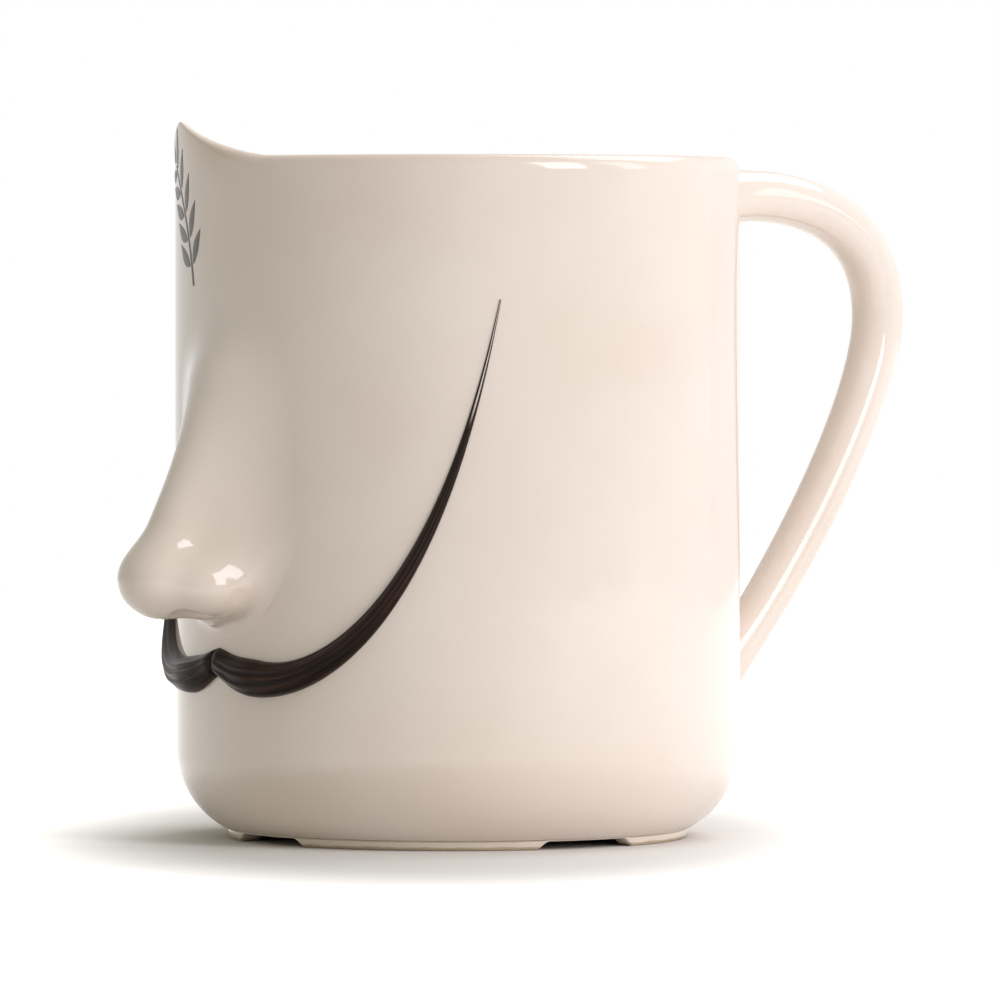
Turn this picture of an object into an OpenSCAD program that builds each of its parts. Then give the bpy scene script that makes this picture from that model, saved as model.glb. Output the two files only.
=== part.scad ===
// Face mug: a slip-cast cup with a pointed crest in its rim, a luted ear handle, a notched foot
// ring, a sprig-moulded nose, a two-piece waxed moustache in relief and a fired leaf transfer.
// Millimetres, +Z up, origin on the cup's axis at table level. The face looks along -Y and the
// handle stands along +Y.

/* [Cup] */
// Outside diameter of the wall
cup_d = 84; // [76:1:96]
// Height of the level rim above the table
rim_z = 101; // [97:1:120]
// Thickness of the wall
wall = 4; // [3.2:0.1:5]
// Thickness of the floor, from the foot ring's seat to the inside
floor_t = 5; // [4:0.1:7]
// Radius of the outside corner, which runs from the wall down to the foot ring's seat
corner_r = 14; // [10:0.5:18]
// Radius of the inside corner between wall and floor
inner_corner_r = 9; // [6:0.5:14]
// Rise of the underside from the foot ring's seat to the middle
dome_h = 1.2; // [0.6:0.1:2]

/* [Rim] */
// Height of the rounded lip, over which the wall closes
lip_h = 2; // [1.2:0.1:3]
// Height of the crest's point above the level rim
crest_h = 5.2; // [2:0.1:9]
// Bearing of the crest from the face's middle, negative to the viewer's left
crest_deg = -22.5; // [-40:0.5:0]
// Half of the arc over which the rim climbs to the crest
crest_spread = 34; // [24:1:50]
// Steepness of the climb: 1 is a straight ramp, 2 a parabola
crest_power = 1.4; // [1.2:0.05:2]
// Fall of the lip from outside to inside at the crest's point
crest_bevel = 3.8; // [1:0.1:4.5]
// Height of the lip's rounding at the crest's point
crest_lip = 1; // [0.6:0.1:2]

/* [Foot ring] */
// Outside diameter of the foot ring
foot_d = 68.4; // [60:0.2:72]
// Width of the foot ring's bearing
foot_w = 3.4; // [2.6:0.1:5]
// Height of the foot ring
foot_h = 1.5; // [1.5:0.1:2.4]
// Number of drain notches in the foot ring
notch_count = 4; // [3:1:6]
// Width of a drain notch at its top
notch_w = 13.2; // [6:0.2:15]
// Depth of a drain notch, up from the table
notch_depth = 1.2; // [0.6:0.1:1.2]
// Run-out of each notch end, from its top to the table
notch_flare = 2.1; // [0.5:0.1:3]

/* [Handle] */
// Height of the upper joint's middle
handle_top_z = 94.2; // [84:0.2:95]
// Height of the lower joint's middle
handle_low_z = 18; // [17:0.5:30]
// Reach of the handle's centre line from the wall
handle_reach = 36.1; // [28:0.1:42]
// Height at which the handle reaches furthest
knuckle_z = 77.5; // [68:0.5:82]
// Thickness of the handle at its upper joint, from finger side to outside
handle_t = 8; // [6:0.1:9]
// Width of the handle across the grip, also there
handle_w = 8.4; // [7:0.1:12]
// Size of the section at the lower joint, as a share of that at the upper
handle_taper = 0.76; // [0.65:0.01:1]
// Growth of the section where it meets the wall
handle_flare = 1.2; // [1.1:0.02:1.5]
// Distance from the wall over which that growth fades
flare_len = 13; // [5:0.5:16]
// Run of the upper limb's bend from the wall
upper_run = 15; // [12:0.5:26]
// Rise of that bend above the upper joint
upper_rise = 3.5; // [1:0.5:6]
// Rise of the shoulder above the upper joint
shoulder_rise = 1; // [0:0.5:4]
// Fall of the limb below the knuckle before it turns in
knuckle_fall = 17; // [10:0.5:22]
// Run of the lower limb's bend from the wall
lower_run = 8; // [6:0.5:24]
// Rise of that bend above the lower joint
lower_rise = 4.5; // [2:0.5:22]

/* [Nose] */
// Height of the nose's base: a third of the face, from the chin line at the foot
nose_base_z = 33.7; // [33:0.1:36]
// Length from base to root: the middle third of the face
nose_len = 33; // [28:0.5:36]
// Width across the wings: seven tenths of the bridge's length
nose_w = 19; // [16:0.2:22]
// Projection of the tip from the wall: six tenths of the bridge's length
nose_proj = 16; // [13:0.2:19]
// Radius of the tip
tip_r = 5; // [4.4:0.1:5.4]
// Radius of the ridge at the nose's root
ridge_r = 2.8; // [2.4:0.1:3.6]
// Radius of the flanks that carry the ridge
flank_r = 7; // [6:0.1:7.6]

/* [Moustache] */
// Distance along the wall from the middle to the waxed point
moustache_span = 47; // [38:0.5:54]
// Height of the moustache's middle
moustache_z = 27.4; // [26.5:0.1:27.6]
// Height of the waxed point
moustache_tip_z = 80; // [60:0.5:84]
// Run along the wall over which the curve leaves the middle
lead_run = 14; // [8:0.5:18]
// Fall of the curve over that run
lead_drop = 7; // [4:0.2:9]
// Distance along the wall of the bend that turns the curve upward
turn_run = 36; // [28:0.5:42]
// Depth of that bend below the middle
turn_drop = 3; // [0:0.2:6]
// Greatest width of a lobe
lobe_w = 5.4; // [4:0.1:6.4]
// Relief of a lobe above the wall
lobe_h = 3; // [2:0.1:4]
// Width and relief of the waxed point
point_size = 0.45; // [0.35:0.05:0.8]
// Number of combed strands across a lobe
strands = 5; // [3:1:6]
// Depth of the grooves between strands, where the lobe is widest
strand_depth = 0.3; // [0.1:0.05:0.5]

/* [Transfer] */
// Length of a printed leaf
leaf_len = 5.8; // [4:0.1:6.2]
// Width of a printed leaf
leaf_w = 2; // [1.2:0.1:2.2]
// Pairs of leaves along the printed stem
leaf_pairs = 5; // [3:1:5]

/* [Joints] */
// Film of slip between the wall and what is luted to it
slip_gap = 0.05; // [0.02:0.01:0.1]
// Least thickness at the feathered edge of the nose
feather_t = 0.1; // [0.06:0.02:0.3]
// Thickness of the fired transfer
ink_t = 0.08; // [0.05:0.01:0.15]

/* [Hidden] */
$fn = 96;

glaze_colour = "#e9ddd0";
bisque_colour = "#d9c8b6";
hair_colour = "#2b211e";
ink_colour = "#4b4341";

wall_r = cup_d / 2;
bore_r = wall_r - wall;
foot_r = foot_d / 2;
foot_in_r = foot_r - foot_w;
floor_z = foot_h + floor_t;
seat_ledge = 0.5;
seat_out_r = foot_r + seat_ledge;
seat_in_r = foot_in_r - seat_ledge;
top_z = rim_z + crest_h;

// Outside corner: an arc from the wall down to the edge of the foot ring's seat. Over a small foot it
// turns all the way to a flat underside
corner_x = wall_r - corner_r;
corner_deg = acos(clamp01((seat_out_r - corner_x) / corner_r));
corner_z = foot_h + corner_r * sin(corner_deg);

function lerp(a, b, t) = a + (b - a) * t;
function clamp01(t) = min(1, max(0, t));
function smooth(t) = let (c = clamp01(t)) c * c * (3 - 2 * c);
function arc(centre, r, from, to, steps) =
    [for (i = [0:steps]) let (a = lerp(from, to, i / steps)) centre + r * [cos(a), sin(a)]];
function bezier(p, t) =
    p[0] * pow(1 - t, 3) + p[1] * 3 * t * pow(1 - t, 2) + p[2] * 3 * t * t * (1 - t) + p[3] * pow(t, 3);
function bezier_slope(p, t) =
    (p[1] - p[0]) * pow(1 - t, 2) + (p[2] - p[1]) * 2 * t * (1 - t) + (p[3] - p[2]) * t * t;
function unit(v) = v / norm(v);

// A place on the wall: s runs round it from the face's middle, z is the height, h the relief
function on_wall(s, z, h) =
    let (bearing = s / wall_r * 180 / PI)
    [(wall_r + h) * sin(bearing), -(wall_r + h) * cos(bearing), z];

// Triangles between rings of k points each; a closed strip joins the last ring to the first
function strip(rings, k, closed = false) =
    [for (i = [0:rings - (closed ? 1 : 2)], j = [0:k - 1])
        let (next = (i + 1) % rings, a = i * k + j, b = i * k + (j + 1) % k,
            c = next * k + (j + 1) % k, d = next * k + j)
        each [[a, b, c], [a, c, d]]];
function fan(first, k) = [for (j = [1:k - 2]) [first, first + j, first + j + 1]];
function flipped(faces) = [for (f = faces) [f[2], f[1], f[0]]];

// Skins a row of sections that have equal counts of points, and caps both ends
module loft(sections) {
    k = len(sections[0]);
    polyhedron(
        points = [for (s = sections) each s],
        faces = concat(
            flipped(strip(len(sections), k)),
            fan(0, k),
            flipped(fan((len(sections) - 1) * k, k))),
        convexity = 8);
}

// Cup

function outer_profile(grow) = concat(
    [[0, foot_h - grow]],
    arc([corner_x, corner_z], corner_r + grow, -corner_deg, 0, 12),
    [[wall_r + grow, top_z], [0, top_z]]);

function cup_profile() = concat(
    [[0, foot_h + dome_h], [seat_in_r, foot_h]],
    arc([corner_x, corner_z], corner_r, -corner_deg, 0, 12),
    [[wall_r, top_z], [bore_r, top_z]],
    arc([bore_r - inner_corner_r, floor_z + inner_corner_r], inner_corner_r, 0, -90, 10),
    [[0, floor_z]]);

// Share of the crest at a bearing, 1 at its point, which is just rounded
crest_round = 1;
function crest_share(bearing) =
    let (turn = (bearing - crest_deg + 540) % 360 - 180,
        off = sqrt(turn * turn + crest_round * crest_round) - crest_round)
    pow(clamp01(1 - off / crest_spread), crest_power);

// Everything above the lip: an arched groove that runs round the wall, climbs over the crest and
// tilts inward there, so that the crest comes to a point at the outside
module above_lip() {
    rim_steps = 120;
    lip_steps = 8;
    overhang = 0.06;
    reach = 2;
    middle_r = (wall_r + bore_r) / 2;
    arch_r = wall / 2 + overhang;
    function groove(share) =
        let (lip = lerp(lip_h, crest_lip, share), tilt = crest_bevel * share / wall,
            peak = sqrt(lip * lip + pow(tilt * arch_r, 2)) - tilt * wall / 2,
            low = rim_z + crest_h * share - peak)
        [for (j = [0:lip_steps])
            let (a = 180 - 180 * j / lip_steps, r = middle_r + arch_r * cos(a))
            [r, low + lip * sin(a) - tilt * (wall_r - r)]];
    rings = [for (i = [0:rim_steps - 1])
        let (bearing = crest_deg + i * 360 / rim_steps, arch = groove(crest_share(bearing)))
        [for (p = concat(
            [[bore_r - reach, arch[0].y]], arch, [[wall_r + reach, arch[lip_steps].y]],
            [[wall_r + reach, top_z + reach], [bore_r - reach, top_z + reach]]))
            [p.x * sin(bearing), -p.x * cos(bearing), p.y]]];
    polyhedron(
        points = [for (r = rings) each r],
        faces = strip(rim_steps, len(rings[0]), closed = true),
        convexity = 8);
}

module cup_body() {
    color(glaze_colour)
    difference() {
        rotate_extrude() polygon(cup_profile());
        above_lip();
    }
}

// Foot ring

module drain_notch() {
    half = notch_w / 2;
    rotate([90, 0, 0])
    linear_extrude(wall_r)
    polygon([[-half, notch_depth], [half, notch_depth], [half + notch_flare, 0], [half + notch_flare, -1],
        [-half - notch_flare, -1], [-half - notch_flare, 0]]);
}

module foot_ring() {
    edge_r = 0.5;
    color(bisque_colour)
    difference() {
        rotate_extrude()
        polygon(concat(
            arc([foot_r - edge_r, edge_r], edge_r, -90, 0, 4),
            [[foot_r, foot_h], [foot_in_r, foot_h]],
            arc([foot_in_r + edge_r, edge_r], edge_r, 180, 270, 4)));
        for (i = [0:notch_count - 1]) rotate(i * 360 / notch_count) drain_notch();
    }
}

// Handle

// Centre line as two curves that meet at the knuckle, in distance from the axis and height
handle_out = wall_r + handle_reach;
handle_upper = [[wall_r, handle_top_z], [wall_r + upper_run, handle_top_z + upper_rise],
    [handle_out, handle_top_z + shoulder_rise], [handle_out, knuckle_z]];
handle_lower = [[handle_out, knuckle_z], [handle_out, knuckle_z - knuckle_fall],
    [wall_r + lower_run, handle_low_z + lower_rise], [wall_r, handle_low_z]];

// Rounded strap section, squarer than an oval
function strap(w, t) =
    let (sides = 22, fullness = 2 / 2.5)
    [for (i = [0:sides - 1])
        let (c = cos(i * 360 / sides), s = sin(i * 360 / sides))
        [sign(c) * pow(abs(c), fullness) * w / 2, sign(s) * pow(abs(s), fullness) * t / 2]];

// One section of the handle; the first and last sections are carried on into the wall
function handle_section(curve, t, swell, sink) =
    let (c = bezier(curve, t), along = unit(bezier_slope(curve, t)),
        out = [-along.y, along.x], place = c - along * sink)
    [for (p = strap(handle_w * swell, handle_t * swell))
        let (q = place + out * p.y) [-p.x, q.x, q.y]];

module handle() {
    steps = 18;
    sink = 3;
    knuckle_share = 0.4;
    function size(u, share) =
        lerp(handle_flare, 1, smooth((u - wall_r) / flare_len)) * lerp(1, handle_taper, share);
    sections = concat(
        [handle_section(handle_upper, 0, handle_flare, sink)],
        [for (i = [0:steps - 1]) let (t = i / steps)
            handle_section(handle_upper, t, size(bezier(handle_upper, t).x, knuckle_share * t), 0)],
        [for (i = [0:steps]) let (t = i / steps)
            handle_section(handle_lower, t, size(bezier(handle_lower, t).x, lerp(knuckle_share, 1, t)), 0)],
        [handle_section(handle_lower, 1, handle_flare * handle_taper, -sink)]);
    color(glaze_colour)
    difference() {
        loft(sections);
        rotate_extrude() polygon(outer_profile(slip_gap));
    }
}

// Nose

// Distance fields in the nose's own frame: x across, y out from the wall, z up
function blend(a, b, k) = let (h = max(k - abs(a - b), 0) / k) min(a, b) - h * h * k / 4;
function hollow(a, b, k) = -blend(-a, b, k);
function rod(p, a, b, ra, rb) =
    let (ab = b - a, t = clamp01(((p - a) * ab) / (ab * ab))) norm(p - a - ab * t) - lerp(ra, rb, t);
function egg(p, c, r) =
    let (d = p - c, q = [d.x / r.x, d.y / r.y, d.z / r.z], g = [q.x / r.x, q.y / r.y, q.z / r.z])
    norm(g) < 0.001 ? -min(r) : norm(q) * (norm(q) - 1) / norm(g);

nose_tip = [0, nose_proj - tip_r, nose_base_z + 5.2];
wing = [3.7, 5.6, 4.1];

function nose_shape(p) =
    let (side = [abs(p.x), p.y, p.z], base = nose_base_z, root = nose_base_z + nose_len,
        ridge = rod(p, [0, -1, root], nose_tip + [0, 0, 1.2], ridge_r, tip_r * 0.8),
        flanks = rod(p, [0, -5.5, root - 2], [0, 1.5, base + 7], flank_r - 0.5, flank_r + 0.4),
        tip = egg(p, nose_tip, [tip_r * 1.04, tip_r, tip_r * 0.94]),
        wings = egg(side, [nose_w / 2 - wing.x, 4.3, base + wing.z + 0.4], wing),
        septum = rod(p, [0, -1, base + 2.4], nose_tip + [0, -0.6, -2], 2.4, 2.2),
        nostril = egg(side, [3.6, nose_proj * 0.42, base - 0.5], [1.8, 3.4, 2.4]))
    hollow(blend(blend(blend(blend(ridge, flanks, 5), tip, 4.5), wings, 3.6), septum, 2.4), nostril, 1.3);

// The nose run into the wall, with a tighter fillet under its base than up its sides
function nose_field(p) =
    let (round_wall = norm([p.x, wall_r + p.y]) - wall_r,
        fillet = lerp(3, 9, smooth((p.z - nose_base_z + 1) / 14)))
    blend(nose_shape(p), round_wall, fillet);

// Where the field changes sign along a ray, by halving
function crossing(from, dir, low, high, turns) =
    turns == 0 ? (low + high) / 2
    : let (mid = (low + high) / 2)
        nose_field(from + dir * mid) < 0
            ? crossing(from, dir, mid, high, turns - 1)
            : crossing(from, dir, low, mid, turns - 1);

// The same along the wall, at the feathered edge's height
function nose_at(s, z, h) = let (p = on_wall(s, z, h)) [p.x, -p.y - wall_r, p.z];
function edge_run(middle_z, a, low, high, turns) =
    turns == 0 ? (low + high) / 2
    : let (mid = (low + high) / 2)
        nose_field(nose_at(mid * cos(a), middle_z + mid * sin(a), slip_gap + feather_t)) < 0
            ? edge_run(middle_z, a, mid, high, turns - 1)
            : edge_run(middle_z, a, low, mid, turns - 1);

module nose() {
    spokes = 52;
    rings = 28;
    back_rings = 6;
    turns = 22;
    middle_z = nose_base_z + 0.34 * nose_len;
    heart = [0, 0, middle_z - 3.5];
    pole = unit(nose_tip - heart);
    function row_frame(p) = [p.x, -wall_r - p.y, p.z];
    run = [for (j = [0:spokes - 1]) edge_run(middle_z, j * 360 / spokes, 1, 40, turns)];
    function edge(j, share, h) =
        let (a = j * 360 / spokes) nose_at(share * run[j] * cos(a), middle_z + share * run[j] * sin(a), h);
    // Rays swing from the tip out to the feathered edge, from a point that moves along inside the nose
    function skin(i, j) =
        let (rim = edge(j, 1, slip_gap + feather_t),
            foot = [min(3, max(-3, rim.x / 4)), -3,
                min(nose_base_z + nose_len - 4, max(nose_base_z + 5, rim.z))],
            from = lerp(heart, foot, i / rings), aim = unit(rim - foot),
            sweep = acos(pole * aim), part = sweep * i / rings,
            dir = (pole * sin(sweep - part) + aim * sin(part)) / sin(sweep))
        from + dir * crossing(from, dir, 0, 60, turns);
    front = concat(
        [heart + pole * crossing(heart, pole, 0, 60, turns)],
        [for (i = [1:rings], j = [0:spokes - 1]) skin(i, j)]);
    back = concat(
        [for (i = [back_rings:-1:1], j = [0:spokes - 1]) edge(j, i / back_rings, slip_gap)],
        [nose_at(0, middle_z, slip_gap)]);
    last = len(front) + len(back) - 1;
    color(glaze_colour)
    polyhedron(
        points = [for (p = concat(front, back)) row_frame(p)],
        faces = concat(
            [for (j = [0:spokes - 1]) [0, 1 + (j + 1) % spokes, 1 + j]],
            [for (f = strip(rings + back_rings, spokes)) f + [1, 1, 1]],
            [for (j = [0:spokes - 1]) [last - spokes + j, last - spokes + (j + 1) % spokes, last]]),
        convexity = 6);
}

// Moustache

seam = 0.12;
moustache_line = [[0, moustache_z], [lead_run, moustache_z - lead_drop],
    [turn_run, moustache_z - turn_drop], [moustache_span, moustache_tip_z]];

// A half swells from its root to the lobe, then tapers evenly to the waxed point
lobe_at = 0.2;
root_share = 0.56;
function taper(t, full) =
    point_size + (full - point_size) * (1 - t) / (1 - lobe_at) * lerp(root_share, 1, smooth(t / lobe_at));

// Domed across, with combed grooves; q runs from -1 at the upper edge to 1 at the lower
function hair_relief(q, t) =
    let (dome = pow(1 - pow(abs(q), 2.4), 0.55), groove = (1 - cos(q * strands * 180 + (strands % 2) * 180)) / 2)
    taper(t, lobe_h) * dome - strand_depth * (1 - t) * groove * dome;

module moustache_half() {
    steps = 44;
    across = strands * 4;
    edge_h = 0.1;
    sections = [for (i = [0:steps])
        let (t = i / steps, c = bezier(moustache_line, t) + [seam / 2, 0],
            along = i == 0 ? [1, 0] : unit(bezier_slope(moustache_line, t)),
            down = [along.y, -along.x], half = taper(t, lobe_w) / 2)
        concat(
            [on_wall(c.x, c.y, slip_gap), on_wall(c.x - down.x * half, c.y - down.y * half, slip_gap)],
            [for (j = [0:across])
                let (q = -1 + 2 * j / across, p = c + down * q * half)
                on_wall(p.x, p.y, slip_gap + max(hair_relief(q, t), edge_h))],
            [on_wall(c.x + down.x * half, c.y + down.y * half, slip_gap)])];
    color(hair_colour) loft(sections);
}

module moustache_right() { moustache_half(); }
module moustache_left() { mirror([1, 0, 0]) moustache_half(); }

// Transfer

// Stem of the printed sprig, bending over towards the crest
stem_line = [[-8.5, 82], [-9.8, 88.5], [-12.8, 95], [-19, 99.6]];
stem_w = 0.7;

// A thin strip on the wall along a run of places, with a width at each of them
module printed_strip(run, widths) {
    last = len(run) - 1;
    loft([for (i = [0:last])
        let (along = unit(run[min(i + 1, last)] - run[max(i - 1, 0)]),
            side = [along.y, -along.x] * widths[i] / 2, a = run[i] + side, b = run[i] - side)
        [on_wall(a.x, a.y, slip_gap), on_wall(b.x, b.y, slip_gap),
            on_wall(b.x, b.y, slip_gap + ink_t), on_wall(a.x, a.y, slip_gap + ink_t)]]);
}

module printed_leaf(root, bearing) {
    stations = 7;
    least_w = 0.2;
    dir = [cos(bearing), sin(bearing)];
    printed_strip(
        [for (i = [0:stations]) root + dir * leaf_len * i / stations],
        [for (i = [0:stations]) max(least_w, leaf_w * pow(sin(180 * pow(i / stations, 0.8)), 0.9))]);
}

// Leaves stand clear of the stem and of each other, as the screens of a transfer leave them
module leaf_transfer() {
    stem_steps = 12;
    lean = 42;
    clear = 1;
    function heading(t) = let (along = bezier_slope(stem_line, t)) atan2(along.y, along.x);
    function off_stem(t, bearing) = bezier(stem_line, t) + clear * [cos(bearing), sin(bearing)];
    color(ink_colour) {
        printed_strip([for (i = [0:stem_steps]) bezier(stem_line, i / stem_steps)],
            [for (i = [0:stem_steps]) stem_w]);
        printed_leaf(off_stem(1, heading(1)), heading(1));
        for (i = [0:leaf_pairs - 1], hand = [-1, 1])
            let (t = (i + 0.6) / leaf_pairs, bearing = heading(t) + hand * lean)
            printed_leaf(off_stem(t, bearing), bearing);
    }
}

cup_body();
foot_ring();
handle();
nose();
moustache_left();
moustache_right();
leaf_transfer();
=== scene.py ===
import bpy
import math
import numpy as np
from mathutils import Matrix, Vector


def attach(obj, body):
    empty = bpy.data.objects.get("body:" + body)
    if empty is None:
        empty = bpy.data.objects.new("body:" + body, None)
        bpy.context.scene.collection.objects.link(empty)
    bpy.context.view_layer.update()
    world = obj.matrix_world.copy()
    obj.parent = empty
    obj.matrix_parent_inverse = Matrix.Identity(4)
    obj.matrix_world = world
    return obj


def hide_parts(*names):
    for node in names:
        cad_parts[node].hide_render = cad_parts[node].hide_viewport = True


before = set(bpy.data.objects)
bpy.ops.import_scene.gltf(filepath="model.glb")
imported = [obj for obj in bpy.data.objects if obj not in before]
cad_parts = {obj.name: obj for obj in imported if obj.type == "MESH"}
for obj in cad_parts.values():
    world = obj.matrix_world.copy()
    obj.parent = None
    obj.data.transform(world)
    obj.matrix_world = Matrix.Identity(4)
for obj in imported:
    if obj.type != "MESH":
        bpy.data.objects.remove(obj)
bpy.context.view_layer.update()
mm = 0.001
print("frame loaded:", ", ".join(sorted(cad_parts)))


# hands: small tools that every piece uses

def clearHands():
    if bpy.context.object and bpy.context.object.mode != "OBJECT":
        bpy.ops.object.mode_set(mode="OBJECT")
    bpy.ops.object.select_all(action="DESELECT")


def pickUp(piece):
    clearHands()
    piece.select_set(True)
    bpy.context.view_layer.objects.active = piece


def throwAway(piece):
    clearHands()
    piece.select_set(True)
    bpy.ops.object.delete()


def copyOf(piece):
    pickUp(piece)
    bpy.ops.object.duplicate(linked=False)
    return bpy.context.object


def readPoints(piece):
    points = np.empty(len(piece.data.vertices) * 3)
    piece.data.vertices.foreach_get("co", points)
    return points.reshape(-1, 3)


def writePoints(piece, points):
    piece.data.vertices.foreach_set("co", np.asarray(points, dtype=np.float32).ravel())
    piece.data.update()


def writeValue(piece, name, values):
    layer = piece.data.attributes.new(name, "FLOAT", "POINT")
    layer.data.foreach_set("value", np.asarray(values, dtype=np.float32))


def smoothStep(t):
    t = np.clip(t, 0.0, 1.0)
    return t * t * (3.0 - 2.0 * t)


def mix(a, b, t):
    return a + (b - a) * t


def shares(steps):
    return [i / steps for i in range(steps + 1)]


def bezier(line, t):
    p = np.asarray(line, dtype=float)
    t = np.asarray(t, dtype=float)[..., None]
    return p[0] * (1 - t) ** 3 + p[1] * 3 * t * (1 - t) ** 2 + p[2] * 3 * t * t * (1 - t) + p[3] * t ** 3


def bezierSlope(line, t):
    p = np.asarray(line, dtype=float)
    t = np.asarray(t, dtype=float)[..., None]
    return (p[1] - p[0]) * (1 - t) ** 2 + (p[2] - p[1]) * 2 * t * (1 - t) + (p[3] - p[2]) * t * t


def unit(v):
    return v / np.linalg.norm(v, axis=-1, keepdims=True)


def arcPoints(centre, radius, fromDeg, toDeg, steps):
    turns = [math.radians(mix(fromDeg, toDeg, share)) for share in shares(steps)]
    return [(centre[0] + radius * math.cos(a), centre[1] + radius * math.sin(a)) for a in turns]


def closeSkin(piece, mergeAt):
    # merge what meets, cap open ends, and turn the faces outwards
    pickUp(piece)
    bpy.ops.object.mode_set(mode="EDIT")
    bpy.ops.mesh.select_all(action="SELECT")
    bpy.ops.mesh.remove_doubles(threshold=mergeAt)
    bpy.ops.mesh.dissolve_degenerate(threshold=mergeAt / 2)
    bpy.ops.mesh.select_all(action="DESELECT")
    bpy.ops.mesh.select_non_manifold(
        extend=False, use_wire=False, use_multi_face=False, use_non_contiguous=False, use_verts=False)
    bpy.ops.mesh.fill_holes(sides=0)
    bpy.ops.mesh.select_all(action="SELECT")
    bpy.ops.mesh.normals_make_consistent(inside=False)
    bpy.ops.object.mode_set(mode="OBJECT")


def smoothSkin(piece, degrees):
    pickUp(piece)
    bpy.ops.object.shade_smooth_by_angle(angle=math.radians(degrees))


def spunProfile(name, profile, settings):
    # a chain of extruded points in the XZ plane, spun once round the cup's axis
    clearHands()
    bpy.ops.mesh.primitive_plane_add(size=mm, location=(0, 0, 0))
    piece = bpy.context.object
    piece.name = piece.data.name = name
    bpy.ops.object.mode_set(mode="EDIT")
    bpy.ops.mesh.merge(type="CENTER")
    radius, height = profile[0]
    bpy.ops.transform.translate(value=(radius * mm, 0, height * mm))
    for nextRadius, nextHeight in profile[1:]:
        move = ((nextRadius - radius) * mm, 0, (nextHeight - height) * mm)
        bpy.ops.mesh.extrude_region_move(TRANSFORM_OT_translate={"value": move})
        radius, height = nextRadius, nextHeight
    bpy.ops.mesh.select_all(action="SELECT")
    bpy.ops.mesh.spin(steps=settings["steps"], angle=2 * math.pi, center=(0, 0, 0), axis=(0, 0, 1))
    bpy.ops.object.mode_set(mode="OBJECT")
    closeSkin(piece, settings["mergeAt"] * mm)
    return piece


def gridOnForm(name, rows, columns, place):
    # a flat grid laid over a form: place takes how far along and across each point is, in steps
    clearHands()
    bpy.ops.mesh.primitive_grid_add(x_subdivisions=columns, y_subdivisions=rows, size=1)
    piece = bpy.context.object
    piece.name = piece.data.name = name
    flat = readPoints(piece)
    along = np.rint((flat[:, 1] + 0.5) * rows)
    across = np.rint((flat[:, 0] + 0.5) * columns)
    writePoints(piece, place(along, across) * mm)
    return piece, along, across


# stage: camera, floor and lamps first, so that every render shows the photograph's view

stage = {
    "bearing": 55.5,  # degrees round from the face towards +X
    "distance": 1290.0,  # mm from the cup's axis
    "pitch": 1.46,  # degrees down
    "aimRight": 6.3,
    "aimHeight": 50.1,
    "lens": 312.0,
    "sensor": 36.0,
    "floorHalf": 900.0,
    "floorColour": "#e9e8e6",
    "nearGlow": 0.9,  # white added to what the camera sees of the floor:
    "glowFrom": 35.0,  # none of it within this of the axis, beside the cup,
    "glowFull": 80.0,  # and all of it from here on
    "glowOval": 0.5,  # before and behind the cup both lie further out, by one over this
    "farGlow": 0.06,  # a little more of it towards the floor's edge
    "farFrom": 120.0,
    "farFull": 700.0,
    "worldColour": "#faf8e9",
    "worldStrength": 0.38,
    "lampColour": "#fcf9ff",
    "lampAim": 50.0,  # height on the cup's axis that every lamp looks at
}


def toLinear(hexCode):
    channels = [int(hexCode[i:i + 2], 16) / 255 for i in (1, 3, 5)]
    return [c / 12.92 if c <= 0.04045 else ((c + 0.055) / 1.055) ** 2.4 for c in channels] + [1.0]


def addNode(tree, kind, inputs=None, **settings):
    # inputs are plain values, or sockets of other nodes to link from; where they go by number, a Map
    # Range has its two ranges at 1 to 4, and a colour Mix its factor at 0 and its colours at 6 and 7
    node = tree.nodes.new(kind)
    for name, value in settings.items():
        setattr(node, name, value)
    for name, value in (inputs or {}).items():
        if isinstance(value, bpy.types.NodeSocket):
            tree.links.new(value, node.inputs[name])
        else:
            node.inputs[name].default_value = value
    return node


def newMaterial(name):
    material = bpy.data.materials.new(name)
    material.use_nodes = True
    material.node_tree.nodes.clear()
    return material, material.node_tree


def seenByCamera(tree):
    # 1 where the camera looks, straight, by way of a gloss or through glass
    rays = addNode(tree, "ShaderNodeLightPath").outputs
    seen = addNode(tree, "ShaderNodeMath", {0: rays["Is Camera Ray"], 1: rays["Is Glossy Ray"]},
                   operation="MAXIMUM")
    seen = addNode(tree, "ShaderNodeMath", {0: seen.outputs[0], 1: rays["Is Transmission Ray"]},
                   operation="MAXIMUM")
    return seen.outputs[0]


viewBearing = math.radians(stage["bearing"])
viewPitch = math.radians(stage["pitch"])
viewRight = Vector((math.cos(viewBearing), math.sin(viewBearing), 0))
viewNear = Vector((math.sin(viewBearing), -math.cos(viewBearing), 0))
viewBack = viewNear * math.cos(viewPitch) + Vector((0, 0, math.sin(viewPitch)))
aim = viewRight * stage["aimRight"] * mm + Vector((0, 0, stage["aimHeight"] * mm))

clearHands()
bpy.ops.object.camera_add(location=aim + viewBack * stage["distance"] * mm)
camera = bpy.context.object
camera.name = "photoCamera"
camera.rotation_euler = (-viewBack).to_track_quat("-Z", "Y").to_euler()
camera.data.lens = stage["lens"]
camera.data.sensor_width = stage["sensor"]
bpy.context.scene.camera = camera
bpy.context.scene.view_settings.view_transform = "Standard"

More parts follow.
